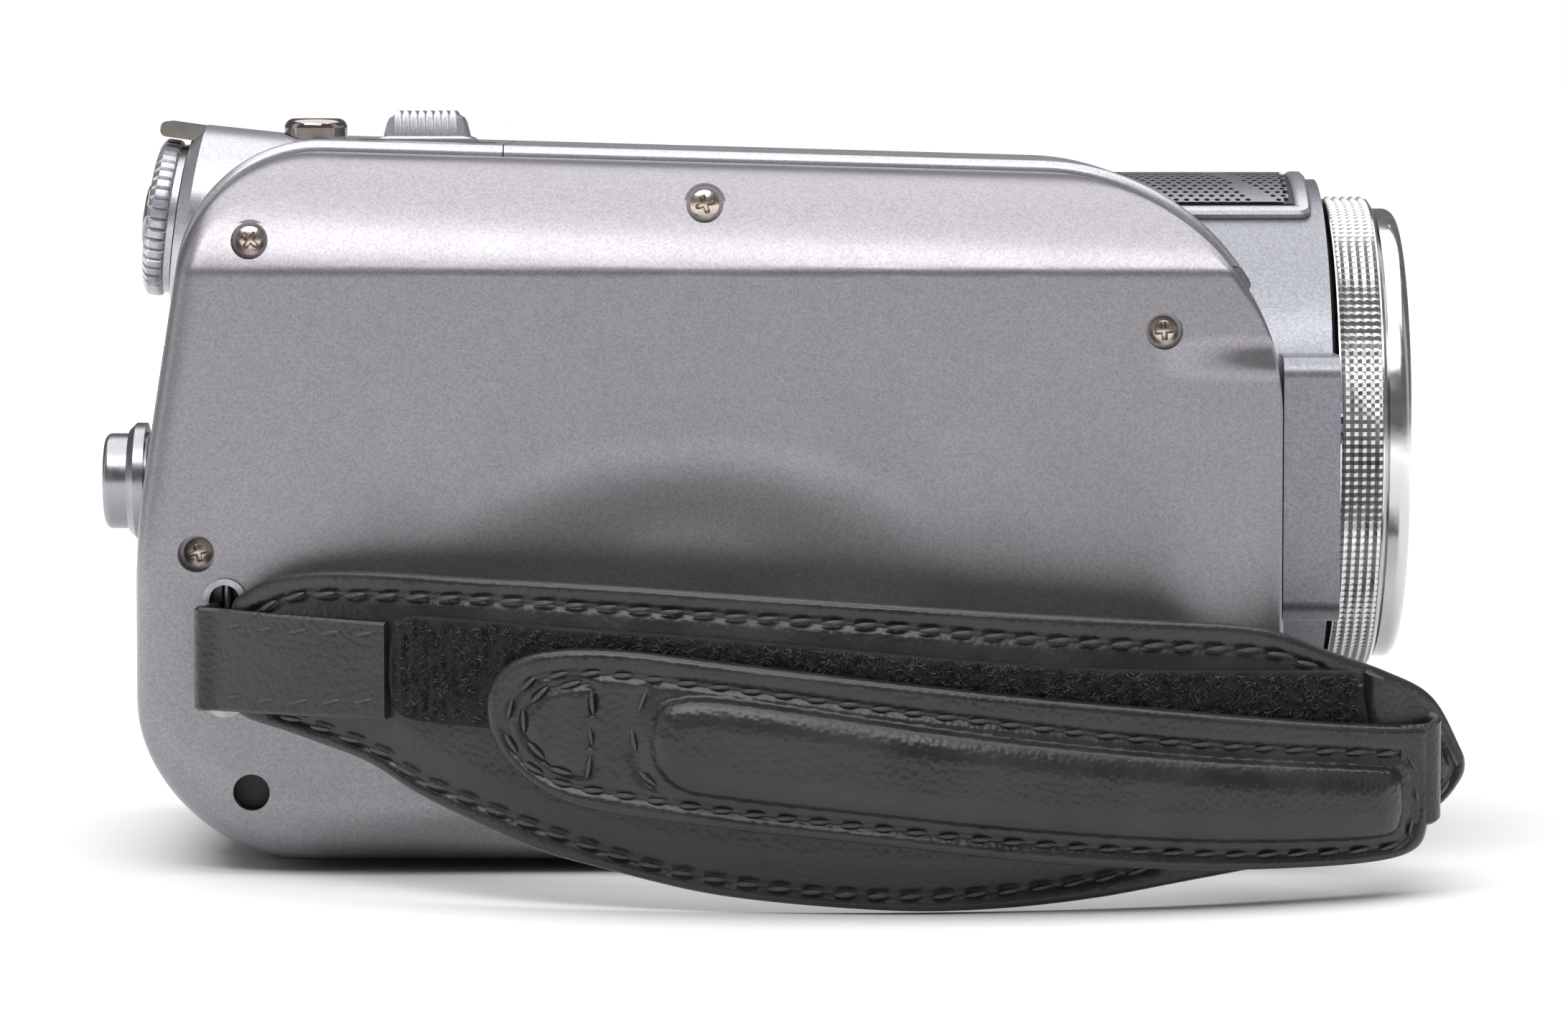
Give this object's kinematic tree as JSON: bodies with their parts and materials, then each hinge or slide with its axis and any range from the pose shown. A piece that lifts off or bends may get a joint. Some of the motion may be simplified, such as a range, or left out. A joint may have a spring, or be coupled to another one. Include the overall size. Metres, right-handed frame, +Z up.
{
  "type": "camcorder",
  "caption": "Compact hand-held camcorder with a rounded casing, knurled lens ring, mode dial, zoom lever, fold-out screen and padded leather hand strap.",
  "frame": {"origin": "centre of the tripod socket's mouth, on the flat underside below the lens axis", "axes": "+X out of the lens, +Y towards the fold-out screen's side, +Z up"},
  "size_m": [0.1315, 0.1018, 0.0724],
  "materials": {
    "violet_grey_paint": "violet-grey metallic flake paint on moulded plastic, satin",
    "silver_paint": "light silver metallic flake paint on moulded plastic, satin",
    "graphite_paint": "mid-grey metallic flake paint on moulded plastic, satin",
    "black_plastic": "fine-textured black plastic",
    "ring_silver": "bright knurled silver plating",
    "chrome": "polished chrome plating",
    "dark_chrome": "polished dark chrome plating",
    "screw_nickel": "nickel-plated steel",
    "lens_glass": "coated optical glass",
    "clear_plastic": "clear moulded plastic",
    "dark_window": "dark red infrared window",
    "screen_black": "black display face",
    "brass": "machined brass insert",
    "steel": "pressed steel",
    "aluminium": "cast aluminium case",
    "board_green": "printed circuit board",
    "sensor": "sensor package",
    "damper_rubber": "soft damper rubber",
    "speaker_black": "speaker cone and frame",
    "strap_leather": "black grained leather with dark stitching",
    "loop_fabric": "black hook-and-loop fabric"
  },
  "bodies": {
    "casing": {"side_cover": "violet_grey_paint", "left_cover": "violet_grey_paint", "rear_deck": "silver_paint", "top_cover": "silver_paint", "mic_frame": "silver_paint", "rear_panel": "graphite_paint", "base_plate": "graphite_paint", "front_housing": "graphite_paint", "mic_grille": "graphite_paint", "lens_barrel": "black_plastic", "name_ring": "black_plastic", "lens_housing": "black_plastic", "iris_plate": "black_plastic", "battery": "black_plastic", "battery_bay": "black_plastic", "jack_block": "black_plastic", "front_ring": "ring_silver", "record_bezel": "chrome", "strap_bezels": "chrome", "dial_index": "dark_chrome", "side_cover_screws": "screw_nickel", "base_screws": "screw_nickel", "front_lens": "lens_glass", "lamp_lens": "clear_plastic", "remote_window": "dark_window", "tripod_socket": "brass", "battery_contacts": "brass", "chassis": "steel", "hinge_pins": "steel", "strap_pins": "steel", "zoom_guide_rods": "steel", "hard_disk": "aluminium", "main_board": "board_green", "sensor_board": "board_green", "image_sensor": "sensor", "disk_dampers": "damper_rubber", "speaker": "speaker_black", "hand_pad": "strap_leather", "rear_tab": "strap_leather", "front_band": "strap_leather", "strap_tongue": "strap_leather", "velcro_band": "loop_fabric"},
    "focus_ring": {"focus_ring": "ring_silver"},
    "mode_dial": {"mode_dial": "silver_paint"},
    "ok_button": {"ok_button": "dark_chrome"},
    "photo_button": {"photo_button": "dark_chrome"},
    "zoom_lever": {"zoom_lever": "silver_paint"},
    "record_button": {"record_button": "chrome"},
    "screen": {"screen_bezel": "black_plastic", "screen_glass": "clear_plastic", "display_module": "screen_black", "screen_back": "silver_paint", "hinge_block": "black_plastic"},
    "play_key": {"play_key": "black_plastic"},
    "menu_key": {"menu_key": "black_plastic"},
    "delete_key": {"delete_key": "black_plastic"},
    "zoom_carriage": {"zoom_carriage": "black_plastic", "zoom_lens": "lens_glass"},
    "battery_door": {"battery_door": "graphite_paint"},
    "jack_flap": {"jack_flap": "graphite_paint"}
  },
  "joints": [
    {"name": "focus_ring_turn", "type": "hinge", "parent": "casing", "child": "focus_ring", "pos_m": [0.0557, 0, 0.0403], "axis": [1, 0, 0], "range_deg": [-45, 45]},
    {"name": "mode_dial_turn", "type": "hinge", "parent": "casing", "child": "mode_dial", "pos_m": [-0.0619, -0.009, 0.0621], "axis": [-0.9903, 0, 0.1392], "range_deg": [-120, 120]},
    {"name": "ok_button_press", "type": "slide", "parent": "casing", "child": "ok_button", "axis": [0.9903, 0, -0.1392], "range_m": [0, 0.0005], "stiffness_N_per_m": 400},
    {"name": "photo_button_press", "type": "slide", "parent": "casing", "child": "photo_button", "axis": [0, 0, -1], "range_m": [0, 0.0008], "stiffness_N_per_m": 400},
    {"name": "zoom_lever_slide", "type": "slide", "parent": "casing", "child": "zoom_lever", "axis": [1, 0, 0], "range_m": [-0.0015, 0.0015], "stiffness_N_per_m": 600},
    {"name": "record_button_press", "type": "slide", "parent": "casing", "child": "record_button", "axis": [1, 0, 0], "range_m": [0, 0.0008], "stiffness_N_per_m": 600},
    {"name": "screen_open", "type": "hinge", "parent": "casing", "child": "screen", "pos_m": [0.0397, 0.0314, 0.0344], "axis": [0, 0, 1], "range_deg": [-90, 0]},
    {"name": "play_key_press", "type": "slide", "parent": "casing", "child": "play_key", "axis": [0, -1, 0], "range_m": [0, 0.0004], "stiffness_N_per_m": 400},
    {"name": "menu_key_press", "type": "slide", "parent": "casing", "child": "menu_key", "axis": [0, -1, 0], "range_m": [0, 0.0004], "stiffness_N_per_m": 400},
    {"name": "delete_key_press", "type": "slide", "parent": "casing", "child": "delete_key", "axis": [0, -1, 0], "range_m": [0, 0.0004], "stiffness_N_per_m": 400},
    {"name": "zoom_carriage_slide", "type": "slide", "parent": "casing", "child": "zoom_carriage", "axis": [1, 0, 0], "range_m": [-0.012, 0.012]},
    {"name": "battery_door_open", "type": "hinge", "parent": "casing", "child": "battery_door", "pos_m": [-0.0418, 0.0065, 0.00075], "axis": [0, 1, 0], "range_deg": [0, 100]},
    {"name": "jack_flap_open", "type": "hinge", "parent": "casing", "child": "jack_flap", "pos_m": [-0.06195, 0, 0.0187], "axis": [0, -1, 0], "range_deg": [0, 95]}
  ]
}
